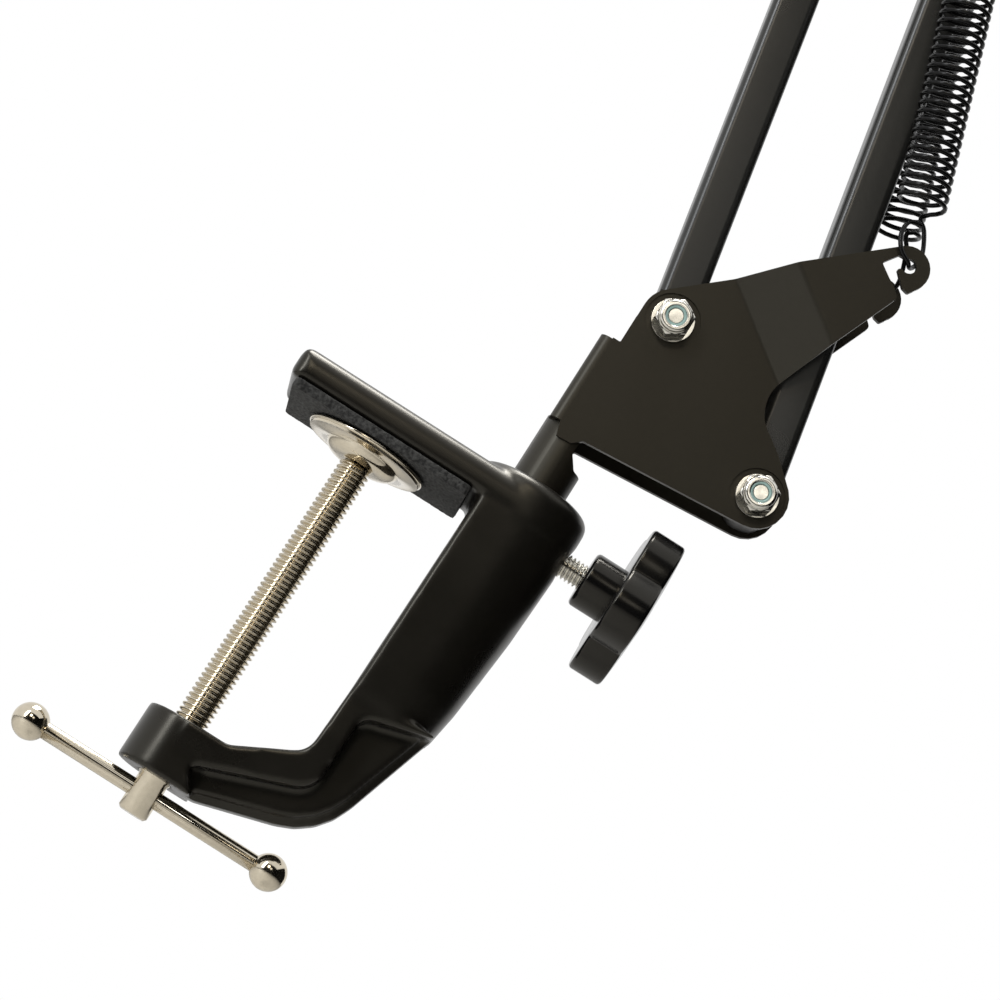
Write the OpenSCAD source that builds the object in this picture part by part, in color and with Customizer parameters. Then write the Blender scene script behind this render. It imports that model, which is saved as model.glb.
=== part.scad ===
// Sprung boom arm for a microphone, on a desk clamp. Millimetres, Z up.
// X is zero on the clamp screw, Y is zero in the arm's middle plane, and Z is
// zero on the foam pad's underside, which is the top of the desk.

/* [Desk clamp] */
// Distance from the clamp screw to the post axis
post_x = 36.4; // [35:0.1:40]
// Reach of the upper jaw past the clamp screw
jaw_tip = 23; // [18:0.5:28]
// Half width of the upper jaw, and radius of its round end
jaw_half = 14.4; // [13.8:0.1:16]
// Thickness of the upper jaw
jaw_t = 7.8; // [7:0.1:12]
// Height of the post socket's rim above the upper jaw
rim_h = 2.5; // [2:0.1:5]
// Distance from the post axis to the inner face of the spine
spine_back = 10.1; // [9.6:0.1:12]
// Clear height between the pad and the lower arm
throat_h = 72.9; // [68:0.1:80]
// Radius of the lower screw boss
low_boss_r = 9.6; // [8.5:0.1:11]
// Height of the lower screw boss
low_boss_h = 13.6; // [12:0.1:18]
// Half thickness of the lower arm's web between its two pockets
web_half = 5; // [3.5:0.1:7]
// Depth of the post socket below the pad's underside
socket_depth = 40; // [35:0.5:44]
// Thickness of the foam pad
pad_t = 2.5; // [1.5:0.1:4]
// Length of the foam pad
pad_len = 45.3; // [40:0.1:46]
// Width of the foam pad
pad_w = 30; // [26:0.5:31]

/* [Clamp screw] */
// Radius of the screw over its thread
screw_r = 3.9; // [3.4:0.05:4.5]
// Radius of the pressure plate
plate_r = 14.6; // [12:0.1:16]
// Thickness of the pressure plate's rim
plate_t = 1.5; // [1:0.1:2.5]
// Height of the dome that holds the screw's button
dome_h = 2.8; // [2.6:0.1:5]
// Radius of the dome where it meets the plate
dome_r = 9.1; // [7:0.1:11]
// Radius of the plain end below the lower boss
stub_r = 3.55; // [3.1:0.05:3.8]
// Length of the plain end below the lower boss
stub_len = 9.2; // [6.5:0.1:12]
// Distance from the lower boss down to the sliding bar
bar_drop = 4; // [3:0.1:5]
// Radius of the sliding bar
bar_r = 1.95; // [1.5:0.05:2.2]
// Distance between the centres of the bar's two balls
bar_len = 60.8; // [50:0.2:80]
// Radius of the bar's balls
ball_r = 4.2; // [3.5:0.1:5]

/* [Thumb screw] */
// Height of the thumb screw above the pad's underside
thumb_z = 1.6; // [0:0.1:3]
// Radius of the thumb screw over its thread
thumb_r = 2.95; // [2.5:0.05:3.5]
// Radius of the knob over its lobes
knob_r = 18.5; // [15:0.1:22]
// Thickness of the lobed part of the knob
knob_t = 9.2; // [8:0.1:12]
// Radius of the knob's hub
hub_r = 6.6; // [5.5:0.1:8]
// Length of the knob's hub
hub_len = 7.5; // [5:0.1:10]
// Bare thread between the clamp and the hub
thumb_bare = 4.7; // [4.4:0.1:8]
// Number of lobes round the knob
knob_lobes = 5; // [4:1:7]
// How far a lobe stands out from the hollow beside it
knob_lobe_h = 3.4; // [1:0.1:5]

/* [Sheet brackets] */
// Thickness of the bracket sheet
sheet_t = 1.5; // [1.2:0.1:1.8]
// Clear width between the two side plates
plate_gap = 11.4; // [11:0.1:13]
// How far each ear is set out from its side plate
ear_step = 7.8; // [6:0.1:9]
// Radius of the rounded plate end round a pivot
lobe_r = 7.3; // [6.8:0.1:8.5]
// Radius of the rolled post
post_r = 6.7; // [6.2:0.1:7.2]
// Width of the open seam down the rolled post
seam_w = 0.6; // [0.3:0.1:1.5]
// Top of the web between the side plates
web_top = 50; // [46:0.5:51]
// Depth of the round seat pressed in round each bolt
seat_depth = 0.4; // [0.2:0.1:0.8]
// Radius of the round seat pressed in round each bolt
seat_r = 6.4; // [5.6:0.1:6.6]

/* [Pivots] */
// Rear lower pivot, sideways from the clamp screw
rear_x = 41.8; // [41:0.1:44]
// Rear lower pivot, above the pad's underside
rear_z = 60.6; // [60:0.1:64]
// Front lower pivot, to the right of the rear one
pair_dx = 36.6; // [34:0.1:40]
// Front lower pivot, below the rear one
pair_dz = 23.7; // [21:0.1:25]
// Distance between the two pivots of each tube
arm_len = 340; // [260:5:420]
// Direction of the lower tubes, from level, in degrees
lower_dir = 100.6; // [85:0.1:115]
// Direction of the upper tubes, from level, in degrees
upper_dir = 160; // [150:1:170]
// Elbow pivots of the upper tubes, to the left of the lower ones
elbow_back = 14; // [11:0.5:18]
// Elbow pivots of the upper tubes, above the lower ones
elbow_rise = 24; // [22:0.5:32]

/* [Tubes] */
// Outside width of the square tube
tube_w = 10; // [9:0.1:10.6]
// Wall of the square tube
tube_wall = 1; // [0.8:0.1:1.5]
// Outside corner radius of the square tube
tube_corner = 2; // [1:0.1:3]
// Width of the nylon end blocks, across the tube
block_w = 10; // [9:0.1:12]
// Reach of an end block past its pivot
block_end = 6; // [5:0.1:7]
// Distance from a pivot to the end block's shoulder, where the tube starts
block_neck = 6.5; // [6:0.1:10]
// Length of the end block's plug inside the tube
plug_len = 18; // [10:0.5:30]

/* [Springs] */
// Radius of the spring wire
wire_r = 0.5; // [0.4:0.05:0.6]
// Outside radius of the coil
coil_r = 6; // [5:0.1:6.4]
// Distance from the middle plane to each spring's axis
spring_y = 12.2; // [12:0.1:13]
// Distance from the front pivot to the pin that the springs pull on
spring_at = 160; // [150:1:180]
// Bottom of the coil above the eye that it hooks into
hook_len = 13.5; // [13:0.1:18]
// Top of the coil below the pin
loop_len = 9; // [8.5:0.1:14]
// Turns in each coil
coil_turns = 20; // [12:1:20]
// Radius of the pin that the springs pull on
pin_r = 2; // [1.6:0.1:2.5]
// Spring eye in the ear, to the right of the front pivot
eye_dx = 1.5; // [1:0.1:2]
// Spring eye in the ear, above the front pivot
eye_dz = 61.6; // [61.2:0.1:62]
// Radius of the spring eye
eye_r = 1.7; // [1.4:0.1:1.8]

/* [Fasteners] */
// Radius of the pivot bolts
bolt_r = 2.5; // [2:0.1:3]
// Radius of the washers
washer_r = 5; // [4.6:0.1:5.4]
// Thickness of the washers
washer_t = 1; // [0.8:0.1:1.2]
// Width of the nuts and bolt heads across their flats
flats = 8; // [7:0.5:9]
// Height of the lock nuts
nut_h = 4.8; // [4.4:0.1:6]
// Height of the bolt heads
head_h = 3.5; // [3:0.1:4]
// Outside radius of the steel sleeves that the end blocks turn on
sleeve_r = 3.5; // [3.2:0.1:3.8]

/* [Microphone end] */
// Tilt pivot, to the left of the rear upper pivot
tilt_dx = 16; // [15:0.5:20]
// Tilt pivot, below the rear upper pivot
tilt_dz = 14; // [13:0.5:18]
// Radius of the tilting block's round end, and of the plates round it
tilt_r = 8.5; // [8:0.1:10]
// Radius of the tilt screw
tilt_screw_r = 3; // [2.5:0.1:3.5]
// Radius of the tilt knob over its lobes
tilt_knob_r = 13; // [10:0.5:16]
// Length of the tilting block's stem, from its pivot
stem_len = 24; // [22:0.5:32]
// Radius of the tilting block's stem
stem_r = 6; // [5.5:0.1:7]
// Radius of the swivel pin under the stem
swivel_r = 4; // [3.5:0.1:4.4]
// Radius of the microphone thread
mic_r = 7.94; // [7.5:0.01:8.2]
// Length of the microphone thread
mic_len = 12; // [9:0.5:16]
// Radius of the adapter's collar
collar_r = 10; // [9:0.5:12]
// Height of the adapter's collar
collar_h = 7; // [6:0.5:10]

/* [Hidden] */
$fn = 64;

// Radial clearance of a part that turns in a bore
run_fit = 0.05;
// Clearance between flat faces that turn on each other
face_fit = 0.1;
// Clearance of a part pressed into another
press_fit = 0.02;
// Clearance between a part and what it rests near but does not touch
rest_gap = 0.3;
// A cut runs this far past the faces that it opens
past = 1;

// Heights of the clamp's faces
jaw_top = pad_t + jaw_t;
rim_z = jaw_top + rim_h;
low_top = -throat_h;
low_bottom = low_top - low_boss_h;
spine_face = post_x - spine_back;
bar_z = low_bottom - bar_drop;
clamp_side = post_x + jaw_half;

// Pivots, as X and Z
A1 = [rear_x, rear_z];
A2 = A1 + [pair_dx, -pair_dz];
B1 = A1 + arm_len * aim(lower_dir);
B2 = A2 + arm_len * aim(lower_dir);
C1 = B1 + [-elbow_back, elbow_rise];
C2 = C1 + turned(A2 - A1, upper_dir - lower_dir);
D1 = C1 + arm_len * aim(upper_dir);
D2 = C2 + arm_len * aim(upper_dir);
E = D1 - [tilt_dx, tilt_dz];
swing = upper_dir - lower_dir;

// Distances from the middle plane
plate_in = plate_gap / 2;
plate_out = plate_in + sheet_t;
ear_in = plate_in + ear_step;
ear_out = ear_in + sheet_t;
seat_y = plate_out - seat_depth;
washer_out = seat_y + washer_t;
fold_r = 2.3;
block_d = plate_gap - 2 * rest_gap;

// A direction in the XZ plane, from level, and a vector turned in that plane
function aim(a) = [cos(a), sin(a)];
function turned(v, a) = [v[0] * cos(a) - v[1] * sin(a), v[0] * sin(a) + v[1] * cos(a)];
function unit(v) = v / norm(v);
function angle_of(v) = atan2(v[1], v[0]);

// Corners [x, y, 0] along an arc, and corners moved and turned with their radii
function arc(c, r, a0, a1, n = 8) =
  [for (i = [0:n]) let (p = c + r * aim(a0 + (a1 - a0) * i / n)) [p[0], p[1], 0]];
function placed(corners, origin, a = 0) =
  [for (c = corners) let (p = origin + turned([c[0], c[1]], a)) [p[0], p[1], c[2]]];

// Points of a closed outline whose corners [x, y, r] are rounded to radius r
function rounded(corners, n = 4) = [for (i = [0:len(corners) - 1])
  let (
    m = len(corners), c = corners[i], p = [c[0], c[1]],
    before = corners[(i + m - 1) % m], after = corners[(i + 1) % m],
    u = unit([before[0], before[1]] - p), v = unit([after[0], after[1]] - p),
    half = acos(max(-1, min(1, u * v))) / 2)
  each c[2] == 0 ? [p] :
    let (
      centre = p + unit(u + v) * c[2] / sin(half),
      from = angle_of(p + u * c[2] / tan(half) - centre),
      sweep = (180 - 2 * half) * sign(v[0] * u[1] - v[1] * u[0]))
    [for (k = [0:n]) centre + c[2] * aim(from + sweep * k / n)]];

// A flat shape drawn in X and Z, from y0 to y1
module upright(y0, y1) {
  translate([0, y1, 0]) rotate([90, 0, 0]) linear_extrude(y1 - y0) children();
}

// A rod along Y, from y0 to y1, through a point given as X and Z
module rod(p, r, y0, y1) {
  translate([p[0], y1, p[1]]) rotate([90, 0, 0]) cylinder(r = r, h = y1 - y0);
}

// Children drawn along +Z are set at a pivot and turned to a direction
module along(p, a) {
  translate([p[0], 0, p[1]]) rotate([0, 90 - a, 0]) children();
}

// The clamp casting: jaw, round boss, tapering spine and pocketed lower arm
arm_z = low_top + 24.3;
spine_low_r = 11.5;
spine_low_x = post_x - 1.5;
spine_low_face = spine_face - 0.7;
inner_bend = [spine_face - 1.4, low_top + 8];
outer_bend = [post_x + 0.15, low_bottom + 7.9];
outer_bend_r = 18;
pocket_bend = [spine_face + 4.1, low_top + 1.6];
edge_step = 1.8;
jaw_fillet = 1.9;
band_half = spine_low_r - 0.4;

// Slices of the spine from the jaw down: height, centre, radius and inner face
spine = [
  [pad_t, post_x, jaw_half - 0.2, spine_face], [-20, post_x, 13.2, spine_face - 0.3],
  [-40, post_x - 0.7, 12.1, spine_face - 0.6], [arm_z, spine_low_x, spine_low_r, spine_low_face]];
module spine_slice(z, x, r, face) {
  corner = 1.5;
  translate([0, 0, z]) linear_extrude(0.1) {
    polygon(rounded(arc([x, 0], r, -90, 90, 24)));
    for (s = [-1, 1]) translate([face + corner, s * (r - corner)]) circle(corner, $fn = 24);
  }
}
module arm_outline(shrink) {
  polygon(rounded([
    [spine_low_face + 0.05, arm_z + past, 0], [inner_bend[0], inner_bend[1], 5],
    [low_boss_r, low_top, 1.5], [0, low_top, 0], [0, low_bottom, 0],
    [low_boss_r, low_bottom + shrink, 2],
    [outer_bend[0] - shrink, outer_bend[1] + shrink, outer_bend_r - shrink],
    [spine_low_x + spine_low_r - shrink, arm_z + past, 0]]));
}
module arm_band() {
  polygon(rounded([
    [spine_low_face + 0.05, arm_z + past, 0], [inner_bend[0], inner_bend[1], 5],
    [low_boss_r, low_top, 1.5], [0, low_top, 0], [0, low_bottom, 0],
    [low_boss_r - 0.8, low_bottom, 0],
    [5, low_bottom + 5.6, 1.2], [pocket_bend[0], pocket_bend[1], 6],
    [pocket_bend[0] + 0.6, arm_z - 4, 3], [spine_low_x + spine_low_r, arm_z + 0.4, 0],
    [spine_low_x + spine_low_r, arm_z + past, 0]]));
}
module clamp_frame() {
  jaw_edge = 4;
  low_edge = 1.6;
  color("#1b1b1c") difference() {
    union() {
      intersection() {
        translate([-jaw_tip, 0, 0]) rotate([90, 0, 90]) linear_extrude(post_x + jaw_tip)
          polygon(rounded([[-jaw_half, pad_t, low_edge], [jaw_half, pad_t, low_edge],
            [jaw_half, jaw_top, jaw_edge], [-jaw_half, jaw_top, jaw_edge]]));
        upright(-jaw_half, jaw_half) polygon(rounded([[-jaw_tip, pad_t, low_edge],
          [post_x, pad_t, 0], [post_x, jaw_top, 0], [-jaw_tip, jaw_top, 2.5]]));
        linear_extrude(jaw_top) polygon(rounded([[-jaw_tip, -jaw_half, 3], [post_x, -jaw_half, 0],
          [post_x, jaw_half, 0], [-jaw_tip, jaw_half, 3]]));
      }
      translate([post_x, 0, 0]) rotate_extrude() polygon(rounded([[0, pad_t, 0], [jaw_half, pad_t, 0],
        [jaw_half, rim_z - 0.9, 3], [post_r + past, rim_z, 0], [0, rim_z, 0]]));
      upright(jaw_fillet - jaw_half, jaw_half - jaw_fillet) polygon(concat(
        [[spine_face + 1, pad_t + 1], [spine_face - jaw_fillet, pad_t + 1]],
        [for (a = [90:-15:0]) [spine_face - jaw_fillet * (1 - cos(a)), pad_t - jaw_fillet * (1 - sin(a))]],
        [[spine_face + 1, pad_t - jaw_fillet]]));
      hull() {
        for (s = spine) spine_slice(s[0], s[1], s[2], s[3]);
      }
      intersection() {
        union() {
          upright(-band_half, band_half) arm_band();
          upright(-web_half, web_half) arm_outline(edge_step);
          upright(edge_step - web_half, web_half - edge_step) arm_outline(0);
        }
        rotate([90, 0, 90]) linear_extrude(clamp_side) polygon([
          [-low_boss_r, low_bottom], [low_boss_r, low_bottom], [low_boss_r, low_top - 7],
          [band_half + past, arm_z + 2 * past], [-band_half - past, arm_z + 2 * past],
          [-low_boss_r, low_top - 7]]);
      }
      translate([0, 0, low_bottom]) cylinder(r = low_boss_r, h = low_boss_h);
    }
    translate([post_x, 0, -socket_depth]) cylinder(r = post_r + run_fit, h = socket_depth + rim_z + past);
    translate([0, 0, low_bottom - past]) cylinder(r = screw_r + run_fit, h = low_boss_h + 2 * past);
    translate([post_x, 0, thumb_z]) rotate([0, 90, 0]) cylinder(r = thumb_r + run_fit, h = jaw_half + past);
  }
}

module jaw_pad() {
  color("#202022") translate([spine_face - 2.1 - pad_len, -pad_w / 2, 0])
    linear_extrude(pad_t - press_fit) polygon(rounded([[0, 0, 1.5], [pad_len, 0, 1.5],
      [pad_len, pad_w, 1.5], [0, pad_w, 1.5]]));
}

// Swivelling pressure plate: a disc with a dome crimped round the screw's button
plate_top = -rest_gap;
dome_low = plate_top - plate_t - dome_h;
button_r = screw_r - 0.4;
button_top = plate_top - 0.9;
neck_r = screw_r - 1.4;
button_low = dome_low + 1.2;
module pressure_plate() {
  rim_edge = 0.5;
  bowl = dome_r - button_r - 0.9;
  color("#cfc6b4") rotate_extrude() difference() {
    polygon(rounded(concat([[0, plate_top, 0], [0, dome_low, 0], [button_r + 0.9, dome_low, 0]],
      [for (a = [15:15:75]) [button_r + 0.9 + bowl * sin(a), plate_top - plate_t - dome_h * cos(a), 0]],
      [[dome_r, plate_top - plate_t, 0], [plate_r, plate_top - plate_t, rim_edge],
      [plate_r, plate_top, rim_edge]])));
    polygon([[-past, button_top], [-past, dome_low - past], [neck_r + face_fit, dome_low - past],
      [neck_r + face_fit, button_low], [button_r + face_fit, button_low],
      [button_r + face_fit, button_top]]);
  }
}

module clamp_screw() {
  stub_end = low_bottom - stub_len;
  shank_top = dome_low - face_fit;
  color("#c9c0ae") difference() {
    rotate_extrude() polygon([[0, button_top - face_fit], [button_r, button_top - face_fit],
      [button_r, button_low + face_fit], [neck_r, button_low + face_fit], [neck_r, shank_top],
      [screw_r - 0.6, shank_top], [screw_r, shank_top - 0.6], [screw_r, low_bottom],
      [stub_r, low_bottom - 0.4], [stub_r, stub_end + 0.6], [stub_r - 0.6, stub_end], [0, stub_end]]);
    translate([-2 * stub_r, 0, bar_z]) rotate([0, 90, 0]) cylinder(r = bar_r + run_fit, h = 4 * stub_r);
  }
}

// The bar rests a little off centre in its cross hole
bar_shift = 1.3;
module tommy_bar() {
  color("#c9c0ae") translate([bar_shift - bar_len / 2 - 1, 0, bar_z]) rotate([0, 90, 0])
    cylinder(r = bar_r, h = bar_len + 2);
}
module tommy_balls() {
  color("#d2cabb") for (s = [-1, 1])
    translate([bar_shift + s * bar_len / 2, 0, bar_z]) rotate([0, -s * 90, 0]) difference() {
      sphere(ball_r);
      translate([0, 0, -1]) cylinder(r = bar_r + press_fit, h = 2 * ball_r);
    }
}

// Thumb screw: a threaded stud in a lobed knob
thumb_tip = post_x + post_r + rest_gap;
hub_x = clamp_side + thumb_bare;
knob_x = hub_x + hub_len;
knob_hole = 4;
module thumb_stud() {
  color("#b9b6ae") translate([0, 0, thumb_z]) rotate([0, 90, 0]) rotate_extrude() polygon([
    [0, thumb_tip], [thumb_r - 0.6, thumb_tip], [thumb_r, thumb_tip + 0.6],
    [thumb_r, knob_x + knob_hole - face_fit], [0, knob_x + knob_hole - face_fit]]);
}
// Lobed outline of a knob, swinging in and out between its hollows and its lobes
function lobes(r, depth, count, steps = 96) = [for (i = [0:steps - 1])
  let (a = 360 * i / steps, rise = (1 + cos(count * a)) / 2)
  (r - depth * (1 - pow(rise, 0.6))) * aim(a)];
module thumb_knob() {
  dome = knob_r * 2.6;
  color("#111112") translate([0, 0, thumb_z]) rotate([0, 90, 0]) difference() {
    union() {
      translate([0, 0, hub_x]) cylinder(r = hub_r, h = hub_len + past);
      intersection() {
        translate([0, 0, knob_x]) linear_extrude(knob_t)
          polygon(lobes(knob_r, knob_lobe_h, knob_lobes));
        translate([0, 0, knob_x + knob_t - dome]) sphere(dome, $fn = 128);
      }
    }
    translate([0, 0, hub_x - past]) cylinder(r = thumb_r + run_fit, h = hub_len + knob_hole + past);
  }
}

// Ear of a bracket, round the front pivot at its own origin: from the front
// lobe over the hollow, the hooked end and the straight top edge
hook_r = 5.2;
rear_at = A1 - A2;
hook_at = [eye_dx - 0.1, eye_dz - 0.6];
top_edge = angle_of(hook_at - rear_at);
top_out = top_edge + 90 - asin((lobe_r - hook_r) / norm(hook_at - rear_at));
front_end = 43;
hollow_r = 9.6;
hollow_at = [0.2, 14.3 + lobe_r];
ear = concat(
  [[-0.8, lobe_r + 3.3, 0]],
  arc(hollow_at, hollow_r, 243, 163, 10),
  placed([[1.5, -7.8, 1.2], [-0.8, -5.7, 0.4], [-2.3, -4.9, 0], [-5.6, -2.6, 0.6]], [eye_dx, eye_dz]),
  placed([[-3.1, 1, 0.4]], [eye_dx, eye_dz]),
  arc([eye_dx, eye_dz], eye_r, 140, -125, 16),
  placed([[-2.1, -1.9, 0.4], [-0.1, -3.9, 0.5], [1.2, -5.2, 0.6], [2.9, -5.6, 0.5], [3.8, -4.2, 0.5]],
    [eye_dx, eye_dz]),
  arc(hook_at, hook_r, -42, top_out, 14));

// Folded strip that both ears of a bracket are cut from: distance along the
// ear's own direction, and distance from the middle plane
ear_dir = 53;
bend_a = 14.1;
bend_b = bend_a + 13.1;
bend_r = 2;
module folded_strip(s) {
  slope = atan((ear_in - plate_in) / (bend_b - bend_a));
  m = sheet_t / 2 * tan(slope / 2);
  lo = -90;
  hi = 60;
  polygon([for (q = rounded([
    [lo, plate_in, 0], [bend_a + m, plate_in, bend_r + sheet_t], [bend_b + m, ear_in, bend_r],
    [hi, ear_in, 0], [hi, ear_out, 0], [bend_b - m, ear_out, bend_r + sheet_t],
    [bend_a - m, plate_out, bend_r], [lo, plate_out, 0]])) [q[0], s * q[1]]]);
}
// The two side plates of a sprung bracket, cut from the strip to one outline
module side_plates(origin, turn, outline) {
  for (s = [-1, 1]) intersection() {
    upright(-ear_out - past, ear_out + past) polygon(rounded(outline));
    translate([origin[0], 0, origin[1]]) rotate([0, -turn - ear_dir, 0])
      linear_extrude(200, center = true) folded_strip(s);
  }
}
// Web that joins two side plates along the line from p to q, standing off to the
// right of that direction. It laps into the plates, just inside their faces and ends.
fold_step = 0.02;
fold_inset = 0.3;
fold_lap = 0.3;
fold_depth = 2.6;
module fold(p, q) {
  outer = plate_out - fold_step;
  inner = plate_in + fold_step;
  translate([p[0], 0, p[1]]) rotate([0, 90 - angle_of(q - p), 0]) translate([0, 0, fold_inset])
    linear_extrude(norm(q - p) - 2 * fold_inset) difference() {
      polygon(rounded([[-fold_lap, -outer, 0], [fold_depth, -outer, fold_r], [fold_depth, outer, fold_r],
        [-fold_lap, outer, 0]], 8));
      polygon(rounded([[-fold_lap - past, -inner, 0], [fold_depth - sheet_t, -inner, fold_r - sheet_t],
        [fold_depth - sheet_t, inner, fold_r - sheet_t], [-fold_lap - past, inner, 0]], 8));
    }
}
// Bolt holes, and the round seats pressed in round them
module pivot_holes(points, r) {
  for (p = points) {
    rod(p, r + press_fit, -plate_out - past, plate_out + past);
    rod(p, seat_r, -plate_out - past, -seat_y);
    rod(p, seat_r, seat_y, plate_out + past);
  }
}

// Lower bracket: post, fold and side plates of one folded sheet
post_top = 24.3;
plate_low = post_top + 1.9;
low_out = -85;
web_low = post_top + 3;
module base_bracket() {
  relief_low = post_top - 4.5;
  neck_top = web_low + 1.2;
  web_x = post_x - 6.4;
  bend_x = web_x + fold_depth;
  color("#1c1c1d") difference() {
    union() {
      difference() {
        translate([post_x, 0, -socket_depth]) cylinder(r = post_r, h = socket_depth + neck_top);
        translate([post_x, 0, -socket_depth - past])
          cylinder(r = post_r - sheet_t, h = socket_depth + neck_top + 2 * past);
        translate([post_x, -seam_w / 2, -socket_depth - past])
          cube([2 * post_r, seam_w, socket_depth + neck_top + 2 * past]);
        upright(-post_r - past, post_r + past) polygon(rounded([
          [post_x + 2.6, neck_top + past, 0], [post_x + 2.4, post_top - 1.6, 1],
          [post_x + 4.7, relief_low, 1], [post_x + 2 * post_r, relief_low, 0],
          [post_x + 2 * post_r, neck_top + past, 0]]));
      }
      fold([bend_x, web_top], [bend_x, web_low]);
      side_plates(A2, 0, concat(
        placed(arc([0, 0], lobe_r, low_out, front_end), A2),
        placed(ear, A2),
        arc(A1, lobe_r, top_out, 180, 5),
        [[rear_x - lobe_r, web_top, 0.4], [bend_x, web_top, 0], [bend_x, web_low, 0],
         [web_x + 3.6, post_top - 0.2, 0.5], [post_x + 0.8, post_top, 0.3], [post_x + 3, plate_low, 0.6]]));
    }
    pivot_holes([A1, A2], bolt_r);
  }
}

// Lower and upper brackets' bolts, nuts, washers and sleeves
module hex(h) {
  intersection() {
    cylinder(r = flats / 2 / cos(30), h = h, $fn = 6);
    cylinder(r1 = flats / 2 + h, r2 = flats / 2 + 0.1, h = h);
  }
}
module facing(p, y, side) {
  translate([p[0], y, p[1]]) rotate([side * -90, 0, 0]) children();
}
module bolts(points, tip) {
  color("#c8c4b8") for (p = points) {
    rod(p, bolt_r, -tip, washer_out);
    facing(p, washer_out, 1) hex(head_h);
  }
}
nut_tip = washer_out + nut_h;
collar_depth = 1.2;
insert_r = bolt_r + 0.75;
module nuts(points) {
  color("#d3d0c6") for (p = points) facing(p, -washer_out, -1) difference() {
    union() {
      hex(nut_h - collar_depth);
      cylinder(r = flats / 2 - 0.25, h = nut_h);
    }
    translate([0, 0, -past]) cylinder(r = bolt_r + press_fit, h = nut_h + 2 * past);
    translate([0, 0, nut_h - 0.8]) cylinder(r = insert_r + press_fit, h = past);
  }
}
module nut_inserts(points) {
  color("#9fb9c4") for (p = points) facing(p, -nut_tip + 0.8, -1) difference() {
    cylinder(r = insert_r, h = 0.6);
    translate([0, 0, -past]) cylinder(r = bolt_r + press_fit, h = 1 + 2 * past);
  }
}
module washers(points) {
  color("#cbc7bb") for (p = points, s = [-1, 1]) facing(p, s * seat_y, s) difference() {
    cylinder(r = washer_r, h = washer_t);
    translate([0, 0, -past]) cylinder(r = bolt_r + press_fit, h = washer_t + 2 * past);
  }
}
module sleeves(points) {
  color("#a9a9a6") for (p = points) difference() {
    rod(p, sleeve_r, -plate_in, plate_in);
    rod(p, bolt_r + press_fit, -plate_in - past, plate_in + past);
  }
}
bolt_tip = nut_tip - 0.4;
module base_bolts() { bolts([A1, A2], bolt_tip); }
module base_nuts() { nuts([A1, A2]); }
module base_nut_inserts() { nut_inserts([A1, A2]); }
module base_washers() { washers([A1, A2]); }
module base_sleeves() { sleeves([A1, A2]); }
module elbow_bolts() { bolts([B1, B2, C1, C2], bolt_tip); }
module elbow_nuts() { nuts([B1, B2, C1, C2]); }
module elbow_nut_inserts() { nut_inserts([B1, B2, C1, C2]); }
module elbow_washers() { washers([B1, B2, C1, C2]); }
module elbow_sleeves() { sleeves([B1, B2, C1, C2]); }
module head_bolts() { bolts([D1, D2], bolt_tip); }
module head_nuts() { nuts([D1, D2]); }
module head_nut_inserts() { nut_inserts([D1, D2]); }
module head_washers() { washers([D1, D2]); }
module head_sleeves() { sleeves([D1, D2]); }

// Square tubes, and the nylon blocks plugged into both their ends
tube_in = tube_w - 2 * tube_wall;
plug_corner = max(0.3, tube_corner - tube_wall) + 0.2;
module tube(p, dir, pinned) {
  along(p, dir) difference() {
    translate([0, 0, block_neck]) linear_extrude(arm_len - 2 * block_neck) difference() {
      polygon(rounded(square_at(tube_w / 2, tube_corner)));
      polygon(rounded(square_at(tube_in / 2, max(0.3, tube_corner - tube_wall))));
    }
    if (pinned) rod([0, spring_at], pin_r + press_fit, -tube_w, tube_w);
  }
}
function square_at(h, r) = [[-h, -h, r], [h, -h, r], [h, h, r], [-h, h, r]];
module end_block(p, dir, r) {
  along(p, dir) difference() {
    union() {
      upright(-block_d / 2, block_d / 2) polygon(rounded([[-block_w / 2, -block_end, 4],
        [block_w / 2, -block_end, 4], [block_w / 2, block_neck, 0.2],
        [-block_w / 2, block_neck, 0.2]]));
      translate([0, 0, block_neck - past]) linear_extrude(plug_len + past)
        polygon(rounded(square_at(tube_in / 2 - press_fit, plug_corner)));
    }
    rod([0, 0], r, -block_d, block_d);
  }
}
// The front tubes' far ends turn with more play: those pivots close the linkage
far_play = 0.25;
module tube_ends(p, dir, far) {
  color("#2b2c2e") {
    end_block(p, dir, sleeve_r + run_fit);
    end_block(p + arm_len * aim(dir), dir + 180, sleeve_r + far);
  }
}
module lower_rear_tube() { color("#1a1a1b") tube(A1, lower_dir, false); }
module lower_front_tube() { color("#1a1a1b") tube(A2, lower_dir, true); }
module upper_rear_tube() { color("#1a1a1b") tube(C1, upper_dir, false); }
module upper_front_tube() { color("#1a1a1b") tube(C2, upper_dir, true); }
module lower_rear_ends() { tube_ends(A1, lower_dir, run_fit); }
module lower_front_ends() { tube_ends(A2, lower_dir, far_play); }
module upper_rear_ends() { tube_ends(C1, upper_dir, run_fit); }
module upper_front_ends() { tube_ends(C2, upper_dir, far_play); }

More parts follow.
